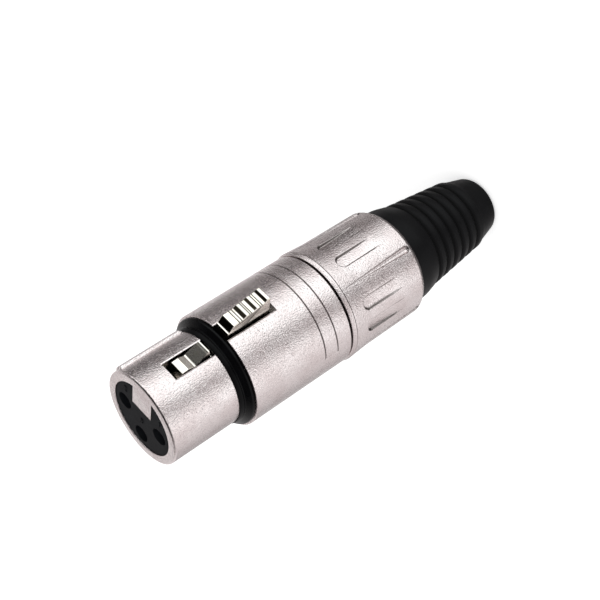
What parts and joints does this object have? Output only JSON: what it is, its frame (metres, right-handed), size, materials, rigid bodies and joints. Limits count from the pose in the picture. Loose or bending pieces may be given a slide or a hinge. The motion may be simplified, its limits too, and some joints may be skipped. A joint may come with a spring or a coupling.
{
  "type": "cable connector, three-pole female, circular with latch",
  "caption": "Round metal three-pole female audio plug with spring latch, socket insert, screw bushing and ribbed rubber boot.",
  "frame": {"origin": "centre of the boot's end face, which the plug stands on", "axes": "+Z along the plug's axis towards the mating face, latch towards -Y"},
  "size_m": [0.0192, 0.022, 0.071],
  "materials": {
    "nickel_shell": "satin bead-blasted nickel plate on die-cast zinc",
    "polished_nickel": "bright nickel plate",
    "spring_steel": "drawn spring wire",
    "socket_plastic": "fine matt black moulding",
    "collet_plastic": "black moulding",
    "contact_brass": "silvered brass",
    "ring_rubber": "satin black rubber",
    "boot_rubber": "matt black rubber"
  },
  "bodies": {
    "boot": {"boot": "boot_rubber"},
    "bushing": {"bushing": "nickel_shell"},
    "shell": {"housing": "nickel_shell", "collar_ring": "ring_rubber", "insert_front": "socket_plastic", "insert_rear": "socket_plastic", "contact_1": "contact_brass", "contact_2": "contact_brass", "contact_3": "contact_brass", "ground_contact": "contact_brass", "latch_spring": "spring_steel", "collet": "collet_plastic"},
    "latch": {"latch": "polished_nickel"}
  },
  "joints": [
    {"name": "bushing_turn", "type": "hinge", "parent": "boot", "child": "bushing", "pos_m": [0, 0, 0.03], "axis": [0, 0, -1], "range_deg": [0, 1800]},
    {"name": "housing_rise", "type": "slide", "parent": "boot", "child": "shell", "axis": [0, 0, 1], "range_m": [0, 0.005]},
    {"name": "latch_press", "type": "hinge", "parent": "shell", "child": "latch", "pos_m": [0, -0.005, 0.0675], "axis": [1, 0, 0], "range_deg": [0, 9], "stiffness_Nm_per_rad": 0.08, "springref_deg": -20.05, "deforming": ["latch_spring"]}
  ],
  "couplings": [
    {"joint": "bushing_turn", "follows": "housing_rise", "rad_per_m": 6283.2}
  ]
}
